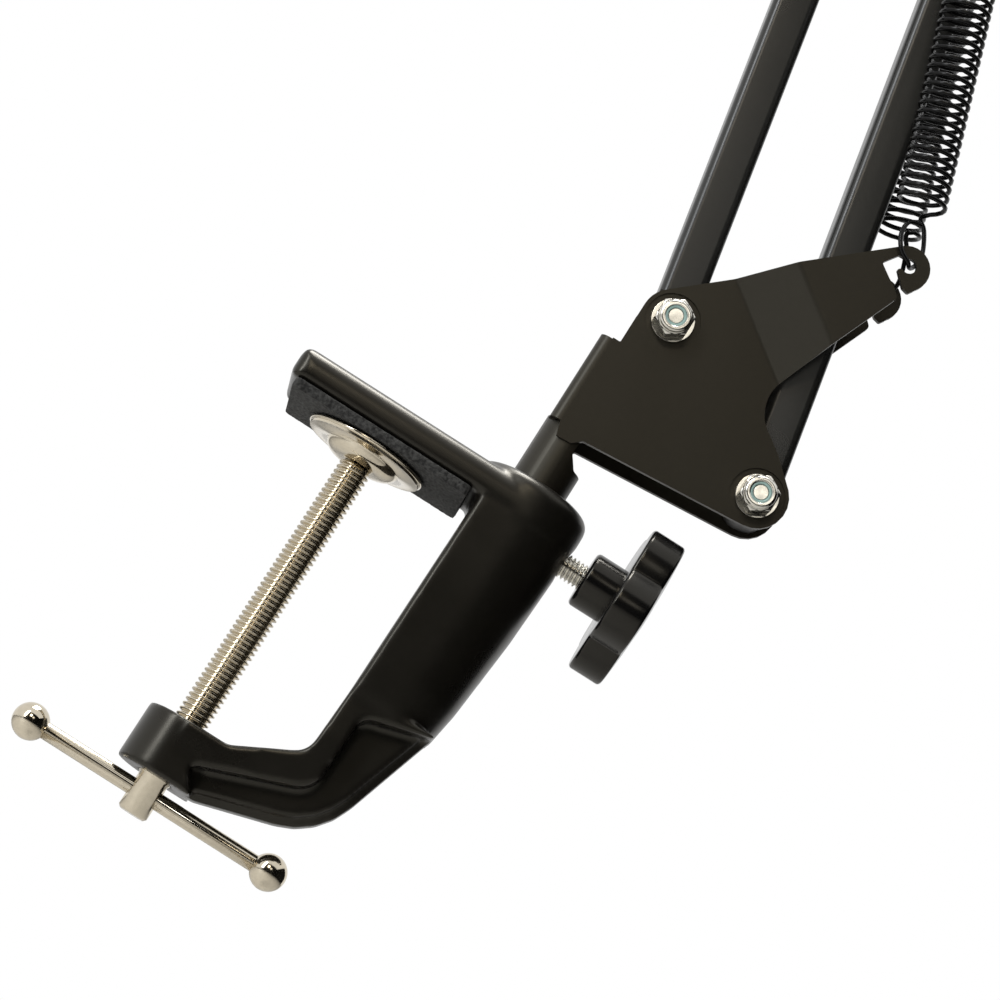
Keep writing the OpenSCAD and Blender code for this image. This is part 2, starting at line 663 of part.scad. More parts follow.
// Pins across the front tubes that the springs pull on
groove_r = pin_r - 0.3;
pin_end = spring_y + 3.2;
module spring_pin(p, dir) {
  color("#b7b4ab") translate([p[0], 0, p[1]] + spring_at * [cos(dir), 0, sin(dir)]) rotate([90, 0, 0])
    rotate_extrude() polygon([[0, -pin_end], [pin_r - 0.4, -pin_end], [pin_r, 0.4 - pin_end],
      [pin_r, -spring_y - 0.9], [groove_r, -spring_y - 0.8], [groove_r, 0.8 - spring_y],
      [pin_r, 0.9 - spring_y], [pin_r, spring_y - 0.9], [groove_r, spring_y - 0.8],
      [groove_r, spring_y + 0.8], [pin_r, spring_y + 0.9], [pin_r, pin_end - 0.4],
      [pin_r - 0.4, pin_end], [0, pin_end]]);
}
module lower_spring_pin() { spring_pin(A2, lower_dir); }
module upper_spring_pin() { spring_pin(C2, upper_dir); }

// Spring wire, as distances along the axis from the eye, across it, and out
// from the middle plane: hook through the eye, coil, loop over the pin
pull = spring_at * aim(lower_dir) - [eye_dx, eye_dz];
span = norm(pull);
mid_r = coil_r - wire_r;
coil_from = hook_len + wire_r;
coil_to = span - loop_len - wire_r;
plate_mid = (ear_in + ear_out) / 2;
hook_points = [[10.6, 0.8, 13.2], [10.1, -2.2, 14.6], [6.6, -3.4, 16.1], [2.8, -2.8, 16.8],
  [0.5, -0.7, 16], [0, 0.1, plate_mid], [0.5, 0.9, 12.5], [3, 2.7, 11.4], [6.8, 3.8, 11],
  [10.4, 4.9, 10.6], [12.9, 5.5, 10.9]];
loop_r = groove_r + wire_r + rest_gap;
ring_count = 8;
coil_points = [for (i = [0:coil_turns * ring_count]) let (f = i / (coil_turns * ring_count))
  [coil_from + (coil_to - coil_from) * f, mid_r * cos(360 * i / ring_count),
   spring_y + mid_r * sin(360 * i / ring_count)]];
loop_points = concat(
  [[coil_to + 1.3, mid_r - 0.1, spring_y + 1.5], [coil_to + 3.4, mid_r - 1, spring_y + 0.9]],
  [for (a = [-5:37:180]) [span + loop_r * sin(a), loop_r * cos(a), spring_y]],
  [[span - 2.4, -loop_r, spring_y], [span - 4.4, -loop_r + 0.7, spring_y]]);
spring_path = concat(hook_points, coil_points, loop_points);

// Least gap of the wire to itself, measured between points that are not neighbours
skip = 5;
spring_gap = min([for (i = [0:len(spring_path) - skip - 1], j = [i + skip:len(spring_path) - 1])
  norm(spring_path[i] - spring_path[j])]) - 2 * wire_r;
echo(least_gap_of_a_spring_to_itself = spring_gap);

// A tube of triangles along a path, with each ring turned on from the last
function heading(p, i) = unit(p[min(i + 1, len(p) - 1)] - p[max(i - 1, 0)]);
function carried(n, t) = unit(n - (n * t) * t);
function normals(p) = [for (i = 0, n = carried([0.3, 0.5, 0.8], heading(p, 0)); i < len(p);
  i = i + 1, n = i < len(p) ? carried(n, heading(p, i)) : n) n];
module wire(path, r) {
  sides = 6;
  n = normals(path);
  last = len(path) - 1;
  points = [for (i = [0:last], k = [0:sides - 1])
    path[i] + r * (cos(360 * k / sides) * n[i] + sin(360 * k / sides) * cross(heading(path, i), n[i]))];
  polyhedron(points, concat(
    [for (k = [1:sides - 2]) [0, k + 1, k]],
    [for (i = [0:last - 1], k = [0:sides - 1], half = [0, 1])
      let (a = i * sides + k, b = i * sides + (k + 1) % sides)
      half == 0 ? [a, b, b + sides] : [a, b + sides, a + sides]],
    [for (k = [1:sides - 2]) [last * sides, last * sides + k, last * sides + k + 1]]));
}
module spring(origin, turn, side) {
  a = turned(unit(pull), turn);
  w = [a[1], -a[0]];
  eye = origin + turned([eye_dx, eye_dz], turn);
  color("#141415") wire([for (q = spring_path) let (p = eye + q[0] * a + q[1] * w)
    [p[0], side * q[2], p[1]]], wire_r);
}
module lower_spring_near() { spring(A2, 0, -1); }
module lower_spring_far() { spring(A2, 0, 1); }
module upper_spring_near() { spring(C2, swing, -1); }
module upper_spring_far() { spring(C2, swing, 1); }

// Elbow bracket: the lower bracket's ears turned to the upper tubes, and a fold
// down the side away from them
fold_off = 7.2;
module elbow_bracket() {
  side = unit(C2 - B2);
  out = [side[1], -side[0]];
  reach = norm(C2 - B2);
  web_from = 12;
  left = C1 - B1;
  low_edge = B2 - B1;
  color("#1c1c1d") difference() {
    union() {
      side_plates(C2, swing, concat(
        arc(B2, lobe_r, angle_of(low_edge) - 90, angle_of(out) + 40),
        [for (t = [web_from, reach - web_from]) let (p = B2 + t * side + fold_off * out)
          [p[0], p[1], 0]],
        placed(arc([0, 0], lobe_r, angle_of(out) - 30 - swing, front_end), C2, swing),
        placed(ear, C2, swing),
        arc(C1, lobe_r, top_out + swing, 270 - angle_of([-left[1], -left[0]]), 3),
        arc(B1, lobe_r, 270 - angle_of([-left[1], -left[0]]), angle_of(low_edge) + 270, 4)));
      fold(B2 + web_from * side + fold_off * out, B2 + (reach - web_from) * side + fold_off * out);
    }
    pivot_holes([B1, B2, C1, C2], bolt_r);
  }
}

// Head bracket: two plates and a fold, round the upper tubes' ends and the tilt pivot
module head_bracket() {
  ridge = unit(D2 - D1);
  out = [-ridge[1], ridge[0]];
  reach = norm(D2 - D1);
  web_from = 10;
  slant = E - D1;
  under = D2 - E;
  color("#1c1c1d") difference() {
    union() {
      for (s = [-1, 1]) upright(s > 0 ? plate_in : -plate_out, s > 0 ? plate_out : -plate_in)
        polygon(rounded(concat(
          arc(E, tilt_r, angle_of(slant) - 90 + 360, angle_of(under) - 90 + 360, 12),
          arc(D2, lobe_r, angle_of(under) - 90, angle_of(out) - 30, 10),
          [for (t = [reach - web_from, web_from]) let (p = D1 + t * ridge + fold_off * out)
            [p[0], p[1], 0]],
          arc(D1, lobe_r, angle_of(out) + 30, angle_of(slant) + 270, 4))));
      fold(D1 + (reach - web_from) * ridge + fold_off * out, D1 + web_from * ridge + fold_off * out);
    }
    pivot_holes([D1, D2], bolt_r);
    rod(E, tilt_screw_r + press_fit, -plate_out - past, plate_out + past);
  }
}

// Tilt joint: a screw through the plates and the block, with a knob on the near side
tilt_knob_t = 9;
tilt_head_r = 5.5;
tilt_tip = plate_out + washer_t + 8;
module tilt_screw() {
  color("#b9b6ae") {
    rod(E, tilt_screw_r, -tilt_tip, plate_out);
    facing(E, plate_out, 1) rotate_extrude() polygon([[0, 0], [tilt_head_r, 0], [tilt_head_r, 1],
      [tilt_head_r - 2, 2.6], [0, 3]]);
  }
}
module tilt_washer() {
  color("#cbc7bb") facing(E, -plate_out, -1) difference() {
    cylinder(r = tilt_screw_r + 3, h = washer_t);
    translate([0, 0, -past]) cylinder(r = tilt_screw_r + run_fit, h = washer_t + 2 * past);
  }
}
module tilt_knob() {
  color("#111112") facing(E, -plate_out - washer_t, -1) difference() {
    union() {
      cylinder(r = hub_r, h = 3);
      translate([0, 0, 2]) linear_extrude(tilt_knob_t - 2) polygon(lobes(tilt_knob_r, 2.4, knob_lobes));
    }
    translate([0, 0, -past]) cylinder(r = tilt_screw_r + run_fit, h = 8 + rest_gap + past);
  }
}
module tilt_block() {
  swivel_len = collar_h + mic_len - 4;
  color("#1d1d1e") translate([E[0], 0, E[1]]) difference() {
    union() {
      rod([0, 0], tilt_r - 0.5, -block_d / 2, block_d / 2);
      translate([0, 0, -stem_len]) rotate_extrude() polygon(rounded([[0, 0, 0], [stem_r + 1.5, 0, 0.6],
        [stem_r + 1.5, 6, 0.6], [stem_r - 0.8, 9, 1.5], [stem_r - 0.8, stem_len - 5, 0],
        [0, stem_len - 5, 0]]));
      translate([0, 0, -stem_len - swivel_len]) cylinder(r = swivel_r, h = swivel_len + past);
    }
    rod([0, 0], tilt_screw_r + run_fit, -block_d, block_d);
    translate([0, 0, -stem_len - swivel_len - past]) cylinder(r = 1.6, h = 9);
  }
}

// Microphone adapter: a collar and a thread that turn on the swivel pin, held by a screw
adapter_top = E[1] - stem_len - face_fit;
adapter_low = adapter_top - collar_h - mic_len;
module adapter_screw() {
  head = swivel_r + 0.9;
  top = E[1] - stem_len - (collar_h + mic_len - 4);
  color("#b9b6ae") translate([E[0], 0, 0]) rotate_extrude() polygon([[0, top + 7], [1.55, top + 7],
    [1.55, top], [head, top], [head, top - 1.6], [head - 0.6, top - 2.2], [1.2, top - 2.2],
    [1.2, top - 1.2], [0, top - 1.2]]);
}
module mic_adapter() {
  seat = E[1] - stem_len - (collar_h + mic_len - 4) + face_fit;
  color("#b98d3c") translate([E[0], 0, 0]) difference() {
    rotate_extrude() polygon([[0, adapter_top], [collar_r - 0.8, adapter_top],
      [collar_r, adapter_top - 0.8], [collar_r, adapter_top - collar_h + 0.8],
      [collar_r - 0.8, adapter_top - collar_h], [mic_r, adapter_top - collar_h],
      [mic_r, adapter_low + 0.8], [mic_r - 0.8, adapter_low], [0, adapter_low]]);
    translate([0, 0, adapter_low - past]) {
      cylinder(r = swivel_r + run_fit, h = collar_h + mic_len + 2 * past);
      cylinder(r = swivel_r + 1.3, h = seat - adapter_low + past);
    }
  }
}

clamp_frame();
jaw_pad();
pressure_plate();
clamp_screw();
tommy_bar();
tommy_balls();
thumb_stud();
thumb_knob();
base_bracket();
base_bolts();
base_nuts();
base_nut_inserts();
base_washers();
base_sleeves();
lower_rear_tube();
lower_rear_ends();
lower_front_tube();
lower_front_ends();
lower_spring_pin();
lower_spring_near();
lower_spring_far();
elbow_bracket();
elbow_bolts();
elbow_nuts();
elbow_nut_inserts();
elbow_washers();
elbow_sleeves();
upper_rear_tube();
upper_rear_ends();
upper_front_tube();
upper_front_ends();
upper_spring_pin();
upper_spring_near();
upper_spring_far();
head_bracket();
head_bolts();
head_nuts();
head_nut_inserts();
head_washers();
head_sleeves();
tilt_screw();
tilt_washer();
tilt_knob();
tilt_block();
adapter_screw();
mic_adapter();
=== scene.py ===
# Looks of a sprung boom arm for a microphone, on a desk clamp. Sizes are in
# millimetres in each section; the frame and the meshes are in metres.
import math

import bmesh
import bpy
from mathutils import Matrix, Vector, noise


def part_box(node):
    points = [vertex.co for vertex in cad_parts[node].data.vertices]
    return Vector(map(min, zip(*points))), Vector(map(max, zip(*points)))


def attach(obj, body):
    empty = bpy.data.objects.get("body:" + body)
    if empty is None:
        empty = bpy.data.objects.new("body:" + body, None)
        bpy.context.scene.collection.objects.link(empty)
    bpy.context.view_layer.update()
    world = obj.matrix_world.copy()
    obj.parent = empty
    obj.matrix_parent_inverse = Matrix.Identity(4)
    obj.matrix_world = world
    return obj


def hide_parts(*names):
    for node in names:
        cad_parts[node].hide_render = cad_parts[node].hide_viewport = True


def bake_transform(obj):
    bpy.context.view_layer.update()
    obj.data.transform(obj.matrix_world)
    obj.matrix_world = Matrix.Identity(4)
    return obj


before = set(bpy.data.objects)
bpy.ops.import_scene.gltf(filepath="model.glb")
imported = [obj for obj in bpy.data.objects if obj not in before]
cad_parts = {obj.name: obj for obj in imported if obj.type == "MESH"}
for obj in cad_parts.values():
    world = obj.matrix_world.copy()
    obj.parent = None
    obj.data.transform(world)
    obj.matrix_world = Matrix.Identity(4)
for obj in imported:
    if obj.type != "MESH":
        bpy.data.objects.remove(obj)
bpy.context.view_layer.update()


# Clamp casting. A C-shaped casting in grey iron with blunt, hand-dressed edges,
# sprayed with semi-gloss black. The post socket and the screw boss are bored.
def add_object(name, mesh):
    thing = bpy.data.objects.new(name.replace(" ", "_"), mesh)
    bpy.context.scene.collection.objects.link(thing)
    return thing


def apply_modifiers(thing):
    graph = bpy.context.evaluated_depsgraph_get()
    mesh = bpy.data.meshes.new_from_object(thing.evaluated_get(graph))
    thing.modifiers.clear()
    thing.data = mesh


same_corner = 1.5e-6


def weld(work, distance):
    bmesh.ops.remove_doubles(work, verts=work.verts, dist=distance)
    bmesh.ops.recalc_face_normals(work, faces=work.faces)


def copy_of_node(node, name):
    """A copy of a node's mesh with its doubled corners joined and no material."""
    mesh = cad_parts[node].data.copy()
    work = bmesh.new()
    work.from_mesh(mesh)
    weld(work, same_corner)
    work.to_mesh(mesh)
    work.free()
    mesh.materials.clear()
    return add_object(name, mesh)


def smooth_by_angle(thing, degrees):
    thing.data.shade_smooth()
    thing.data.set_sharp_from_angle(angle=math.radians(degrees))


def finish(name, colour, rough, metal=0.0, coat=0.0, grain=1500, bump=0.1, bump_mm=0.02,
           mottle=60, rough_spread=0.08, tint=0.12, sheen=(1, 1, 1), shine=0.5):
    """A paint, metal or plastic: fine grain tints and dents it, broad mottle dulls it."""
    material = bpy.data.materials.new(name)
    material.use_nodes = True
    nodes, links = material.node_tree.nodes, material.node_tree.links
    shader = nodes["Principled BSDF"]
    place = nodes.new("ShaderNodeTexCoord")
    fine = nodes.new("ShaderNodeTexNoise")
    fine.inputs["Scale"].default_value = grain
    fine.inputs["Detail"].default_value = 3
    broad = nodes.new("ShaderNodeTexNoise")
    broad.inputs["Scale"].default_value = mottle
    broad.inputs["Detail"].default_value = 4
    for texture in (fine, broad):
        links.new(place.outputs["Object"], texture.inputs["Vector"])
    spread = nodes.new("ShaderNodeMapRange")
    spread.inputs["From Min"].default_value = 0.3
    spread.inputs["From Max"].default_value = 0.7
    spread.inputs["To Min"].default_value = max(0.02, rough - rough_spread)
    spread.inputs["To Max"].default_value = rough + rough_spread
    links.new(broad.outputs["Fac"], spread.inputs["Value"])
    links.new(spread.outputs["Result"], shader.inputs["Roughness"])
    shade = nodes.new("ShaderNodeMix")
    shade.data_type = "RGBA"
    shade.inputs["A"].default_value = (*[c * (1 - tint) for c in colour], 1)
    shade.inputs["B"].default_value = (*[c * (1 + tint) for c in colour], 1)
    speckle = nodes.new("ShaderNodeMapRange")
    speckle.inputs["From Min"].default_value = 0.36
    speckle.inputs["From Max"].default_value = 0.64
    links.new(fine.outputs["Fac"], speckle.inputs["Value"])
    links.new(speckle.outputs["Result"], shade.inputs["Factor"])
    links.new(shade.outputs["Result"], shader.inputs["Base Color"])
    relief = nodes.new("ShaderNodeBump")
    relief.inputs["Strength"].default_value = bump
    relief.inputs["Distance"].default_value = bump_mm / 1000
    links.new(fine.outputs["Fac"], relief.inputs["Height"])
    links.new(relief.outputs["Normal"], shader.inputs["Normal"])
    shader.inputs["Metallic"].default_value = metal
    shader.inputs["Specular Tint"].default_value = (*sheen, 1)
    shader.inputs["Specular IOR Level"].default_value = shine
    shader.inputs["Coat Weight"].default_value = coat
    shader.inputs["Coat Roughness"].default_value = 0.12
    return material


cast_paint = finish("semi-gloss black on cast iron", (0.0058, 0.0052, 0.0042), 0.3, grain=420,
                    bump=0.2, bump_mm=0.05, mottle=35, rough_spread=0.05, tint=0.05,
                    sheen=(1, 0.95, 0.82), shine=0.4)
casting = copy_of_node("clamp_frame", "clamp casting")
voxels = casting.modifiers.new("even grid", "REMESH")
voxels.mode = "VOXEL"
voxels.voxel_size = 0.00045
apply_modifiers(casting)
casting_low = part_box("clamp_frame")[0].z * 1000
spine_end = casting_low + 37.9
ledge = [(30.4, 15.2), (31.0, 33.9), (46.4, 38.3)]
inner_x, outer_x, flank_y, reach_z, ledge_rim = 26.4, 40.5, 5, 7, 1


def distance_to_line(x, z, line):
    """The least distance of a point from a line through [x, z] points."""
    least = math.inf
    for (x0, z0), (x1, z1) in zip(line, line[1:]):
        run, climb = x1 - x0, z1 - z0
        along = min(1, max(0, ((x - x0) * run + (z - z0) * climb) / (run ** 2 + climb ** 2)))
        least = min(least, math.hypot(x - x0 - along * run, z - z0 - along * climb))
    return least


# The spine's end is faired into the lower arm on both flanks. The second number of
# each pair is the width over which the fairing fades in from that limit.
faired = casting.vertex_groups.new(name="spine end")
for point in casting.data.vertices:
    x, y, z = point.co * 1000
    limits = ((reach_z - abs(z - spine_end), 3),
              (distance_to_line(x, z - casting_low, ledge) - ledge_rim, 2),
              (abs(y) - flank_y, 2), (x - inner_x, 1.5), (outer_x - x, 5))
    share = math.prod(min(1, max(0, room / fade)) for room, fade in limits)
    if share > 0:
        faired.add([point.index], share, "REPLACE")
fair = casting.modifiers.new("faired spine end", "SMOOTH")
fair.vertex_group = "spine end"
fair.factor = 0.8
fair.iterations = 60
blunt = casting.modifiers.new("blunt edges", "SMOOTH")
blunt.factor = 0.5
blunt.iterations = 22
apply_modifiers(casting)
casting.data.shade_smooth()
casting.data.materials.append(cast_paint)
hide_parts("clamp_frame")
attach(casting, "clamp")


# Foam pad. A strip of closed-cell foam stuck under the upper jaw, so that the
# iron doesn't mark the desk. Its cut edges show the cells.
foam = finish("black foam", (0.03, 0.03, 0.029), 0.92, grain=1300, bump=0.9, bump_mm=0.4,
              mottle=300, rough_spread=0.04, tint=0.75)
pad = copy_of_node("jaw_pad", "foam pad")
cells = pad.modifiers.new("even grid", "REMESH")
cells.mode = "VOXEL"
cells.voxel_size = 0.0004
apply_modifiers(pad)
cell_depth, coarse_cells, fine_cells = 0.13, 900, 2100
for point in pad.data.vertices:
    dent = noise.noise(point.co * coarse_cells) * 0.5 + noise.noise(point.co * fine_cells) * 0.5
    point.co -= point.normal * (cell_depth / 1000 * (dent + 0.75))
pad.data.shade_smooth()
pad.data.materials.append(foam)
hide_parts("jaw_pad")
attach(pad, "clamp")


# Pressure plate. A disc pressed from sheet steel with a hollow dome, crimped over
# the button on the end of the clamp screw so that it tilts. Nickel plated.
def round_corner(radius, height, angle):
    """The point in metres at a radius and height in millimetres, at an angle round Z."""
    return (radius * math.cos(angle) / 1000, radius * math.sin(angle) / 1000, height / 1000)


def wall_faces(rows, steps):
    """The faces between rows of corners, each row one closed turn of so many steps."""
    return [(i * steps + k, i * steps + (k + 1) % steps,
             (i + 1) * steps + (k + 1) % steps, (i + 1) * steps + k)
            for i in range(rows - 1) for k in range(steps)]


def welded(name, corners, steps, place=None):
    """An object of rows of corners, whose doubled corners are joined."""
    mesh = bpy.data.meshes.new(name)
    mesh.from_pydata(corners, [], wall_faces(len(corners) // steps, steps))
    work = bmesh.new()
    work.from_mesh(mesh)
    weld(work, 1e-7)
    if place is not None:
        work.transform(place)
    work.to_mesh(mesh)
    work.free()
    return add_object(name, mesh)


def revolve(name, outline, steps=64, place=None):
    """Turns [radius, height] points in millimetres round Z."""
    corners = [round_corner(r, z, 2 * math.pi * k / steps) for r, z in outline for k in range(steps)]
    return welded(name, corners, steps, place)


def bend(centre_r, centre_z, radius, start, end, count=6):
    """Points of an arc between two angles in degrees, round a centre in an outline."""
    return [(centre_r + radius * math.cos(math.radians(start + (end - start) * i / count)),
             centre_z + radius * math.sin(math.radians(start + (end - start) * i / count)))
            for i in range(count + 1)]


nickel = finish("nickel plate", (0.6, 0.54, 0.43), 0.14, metal=1.0, grain=900, bump=0.1,
                bump_mm=0.01, mottle=150, rough_spread=0.05, tint=0.04)
plate_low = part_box("pressure_plate")[0].z * 1000
rim_at, rim_r, disc_top, disc_low = 14.1, 0.48, -0.32, -1.8
cup_r, cup_flare, foot_r = 4.4, 4.7, 9.4
hole_r, hole_depth = 2.6, 1.2
bowl = [(cup_r + cup_flare * math.cos(t) ** 0.8, disc_low + (plate_low - disc_low) * math.sin(t))
        for t in [math.pi / 2 * i / 16 for i in range(1, 17)]]
plate_outline = ([(0, disc_top)] + bend(rim_at, disc_top - rim_r, rim_r, 90, -90, 8)
                 + [(rim_at - 0.1, disc_low), (foot_r, disc_low)] + bowl
                 + [(hole_r, plate_low), (hole_r, plate_low + hole_depth), (0, plate_low + hole_depth)])
plate = revolve("pressure plate", plate_outline, 128)
smooth_by_angle(plate, 50)
plate.data.materials.append(nickel)
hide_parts("pressure_plate")
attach(plate, "pressure_plate")


# Clamp screw. Rolled M8 thread on steel rod, with a turned plain end that is
# cross-drilled for the sliding bar. Nickel plated.
def capped(name, corners, steps, place=None):
    """An object of rows of corners, left as they are, with a flat face over each end."""
    rows = len(corners) // steps
    ends = [tuple(range(steps - 1, -1, -1)), tuple((rows - 1) * steps + k for k in range(steps))]
    mesh = bpy.data.meshes.new(name)
    mesh.from_pydata(corners, [], wall_faces(rows, steps) + ends)
    if place is not None:
        mesh.transform(place)
    mesh.update()
    return add_object(name, mesh)


def threaded_rod(name, radius, pitch, low, high, place=None, steps=48, chamfer=0.7):
    """A rod along Z with a real helical thread and chamfered ends, in millimetres."""
    rows_a_turn, depth = 10, 0.61 * pitch
    rows = round((high - low) / pitch * rows_a_turn)
    outline = [0.0, 0.0, 0.35, 0.8, 1.0, 1.0, 0.95, 0.6, 0.2, 0.0]
    corners = []
    for i in range(rows + 1):
        z = low + (high - low) * i / rows
        to_end = min(z - low, high - z)
        for k in range(steps):
            turn = ((z - low) / pitch - k / steps) % 1 * len(outline)
            first = outline[int(turn) % len(outline)]
            second = outline[(int(turn) + 1) % len(outline)]
            r = radius - depth * (first + (second - first) * (turn % 1))
            r = min(r, radius - chamfer + min(to_end, chamfer))
            corners.append(round_corner(r, z, 2 * math.pi * k / steps))
    return capped(name, corners, steps, place)


boss_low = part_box("clamp_frame")[0].z * 1000
screw_r, screw_pitch = 3.9, 1.25
screw = threaded_rod("clamp screw", screw_r, screw_pitch, boss_low + 0.4, plate_low - 0.1)
smooth_by_angle(screw, 60)
screw.data.materials.append(nickel)
button_r, button_top, button_low = 2.45, plate_low + 3.3, plate_low - 0.4
button = revolve("clamp screw button", [(0, button_top), (button_r, button_top),
                                        (button_r, button_low), (0, button_low)], 48)
smooth_by_angle(button, 40)
button.data.materials.append(nickel)
stub = copy_of_node("clamp_screw", "clamp screw plain end")
stub_top = boss_low + 0.35
work = bmesh.new()
work.from_mesh(stub.data)
everything = work.verts[:] + work.edges[:] + work.faces[:]
bmesh.ops.bisect_plane(work, geom=everything, plane_co=(0, 0, stub_top / 1000),
                       plane_no=(0, 0, 1), clear_outer=True)
bmesh.ops.holes_fill(work, edges=work.edges[:])
work.to_mesh(stub.data)
work.free()
smooth_by_angle(stub, 35)
stub.data.materials.append(nickel)
for part in (screw, button, stub):
    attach(part, "clamp_screw")
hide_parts("clamp_screw")


# Sliding bar. A drawn rod with a ball pressed on each end, loose in its cross
# hole, nickel plated after assembly.
def soften(thing, width):
    """Breaks the edges of a copy by a width in millimetres and keeps its flats flat."""
    work = bmesh.new()
    work.from_mesh(thing.data)
    bmesh.ops.dissolve_limit(work, angle_limit=math.radians(0.6), verts=work.verts, edges=work.edges)
    work.to_mesh(thing.data)
    work.free()
    edges = thing.modifiers.new("broken edges", "BEVEL")
    edges.width = width / 1000
    edges.segments = 2
    edges.limit_method = "ANGLE"
    edges.angle_limit = math.radians(30)
    edges.use_clamp_overlap = True
    apply_modifiers(thing)
    smooth_by_angle(thing, 32)
    flats = thing.modifiers.new("flats stay flat", "WEIGHTED_NORMAL")
    flats.weight = 90
    flats.keep_sharp = True
    apply_modifiers(thing)


def carry(node, name, material, body, edge):
    """A copy of a CAD node with broken edges and its finish, shown in the node's place."""
    thing = copy_of_node(node, name)
    if edge:
        soften(thing, edge)
    else:
        smooth_by_angle(thing, 32)
    thing.data.materials.append(material)
    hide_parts(node)
    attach(thing, body)


carry("tommy_bar", "sliding bar", nickel, "tommy_bar", edge=0)
bar_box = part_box("tommy_bar")
ball_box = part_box("tommy_balls")
ball_r, ball_bore_r, ball_end = 4.2, 1.98, 2.72
bar_z = (bar_box[0].z + bar_box[1].z) / 2
for name, side, x in (("left ball", -1, ball_box[0].x + ball_r / 1000),
                      ("right ball", 1, ball_box[1].x - ball_r / 1000)):
    turns = [math.pi * i / 40 for i in range(41)]
    outline = [(ball_r * math.sin(t), ball_r * math.cos(t)) for t in turns if t < ball_end]
    outline += [(ball_bore_r, outline[-1][1])]
    place = Matrix.Translation((x, 0, bar_z)) @ Matrix.Rotation(side * math.pi / 2, 4, "Y")
    ball = revolve(name, outline, 72, place)
    smooth_by_angle(ball, 60)
    ball.data.materials.append(nickel)
    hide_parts("tommy_balls")
    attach(ball, "tommy_bar")


# Thumb screw. An M6 stud moulded into a gloss black lobed knob; it bears on the
# post through the open side of its socket.
zinc = finish("bright zinc plate", (0.68, 0.66, 0.6), 0.17, metal=1.0, grain=800, bump=0.12,
              bump_mm=0.01, mottle=260, rough_spread=0.07, tint=0.06)
stud_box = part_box("thumb_stud")
stud_z = (stud_box[0].z + stud_box[1].z) / 2
stud_r, stud_pitch = 2.95, 1.0
across = Matrix.Translation((0, 0, stud_z)) @ Matrix.Rotation(math.pi / 2, 4, "Y")
stud = threaded_rod("thumb screw stud", stud_r, stud_pitch, stud_box[0].x * 1000,
                    stud_box[1].x * 1000, across)
smooth_by_angle(stud, 60)
stud.data.materials.append(zinc)
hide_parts("thumb_stud")
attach(stud, "thumb_stud")


def lobed_knob(name, radius, depth, lobes, levels, place, steps=240):
    """A moulded knob: one closed outline per [height, inset, share] level, along Z."""
    corners = []
    for height, inset, share in levels:
        for k in range(steps):
            a = 2 * math.pi * k / steps
            rise = (1 + math.cos(lobes * a)) / 2
            r = (radius - depth * (1 - rise ** 0.6) - inset) * share
            corners.append(round_corner(r, height, a))
    return welded(name, corners, steps, place)


def knob_levels(low, high, round_off, dome, count, shares):
    """Levels of a knob with rounded edges, closed by a low dome on its outer face."""
    quarter = [math.pi / 2 * i / count for i in range(count + 1)]
    edge = high - dome
    levels = [(low, 0, 0.0), (low, round_off, 1)]
    levels += [(low + round_off * (1 - math.cos(t)), round_off * (1 - math.sin(t)), 1)
               for t in quarter[1:]]
    levels += [(edge - round_off * (1 - math.sin(t)), round_off * (1 - math.cos(t)), 1)
               for t in quarter]
    return levels + [(edge + dome * (1 - s * s), round_off + 0.01, s) for s in shares]


def knob_hub(name, bore_r, radius, round_off, low, high, bore_top, steps, place):
    """The hub under a knob, its edge rounded, with a short way up its bore shown."""
    outline = [(bore_r, bore_top), (bore_r, low)]
    outline += bend(radius - round_off, low + round_off, round_off, -90, 0)
    return revolve(name, outline + [(radius, high), (bore_r, high)], steps, place)


gloss_plastic = finish("gloss black plastic", (0.004, 0.004, 0.0042), 0.18, coat=0.1, grain=700,
                       bump=0.06, bump_mm=0.02, mottle=45, rough_spread=0.04, tint=0.05,
                       sheen=(1, 0.94, 0.8), shine=0.33)
knob_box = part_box("thumb_knob")
hub_low, knob_high = knob_box[0].x * 1000, knob_box[1].x * 1000
hub_len, hub_r = 7.5, 6.6
knob_low = hub_low + hub_len
knob_r, lobe_depth, lobe_count = 18.5, 3.4, 5
levels = knob_levels(knob_low, knob_high, round_off=0.9, dome=1.0, count=6,
                     shares=(0.97, 0.9, 0.8, 0.65, 0.45, 0.25, 0.0))
knob = lobed_knob("thumb screw knob", knob_r, lobe_depth, lobe_count, levels, across)
smooth_by_angle(knob, 45)
knob.data.materials.append(gloss_plastic)
hub = knob_hub("thumb screw hub", 3.0, hub_r, round_off=1, low=hub_low, high=knob_low + 0.5,
               bore_top=hub_low + 0.8, steps=64, place=across)
smooth_by_angle(hub, 40)
hub.data.materials.append(gloss_plastic)
for part in (knob, hub):
    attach(part, "thumb_knob")
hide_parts("thumb_knob")


# Base bracket. One blank of sheet steel: rolled into the open-seamed post at the
# bottom, folded over at the back, its two ears joggled outwards. Powder coated.
powder_coat = finish("satin black powder coat on sheet", (0.0092, 0.0074, 0.0048), 0.4, grain=900,
                     bump=0.25, bump_mm=0.02, mottle=25, rough_spread=0.05, tint=0.06,
                     sheen=(1, 0.96, 0.82), shine=0.43)
carry("base_bracket", "base bracket", powder_coat, "base", edge=0.22)


# Base fasteners. Zinc plated M5 bolts and lock nuts over plain washers, with a
# pale nylon ring in each nut and a steel sleeve for each nylon block to turn on.
nylon_ring = finish("pale nylon ring", (0.36, 0.53, 0.5), 0.35, grain=900, bump=0.1, tint=0.05)
plain_steel = finish("plain bright steel", (0.5, 0.49, 0.47), 0.32, metal=1.0, grain=700,
                     bump=0.12, bump_mm=0.01, mottle=120)


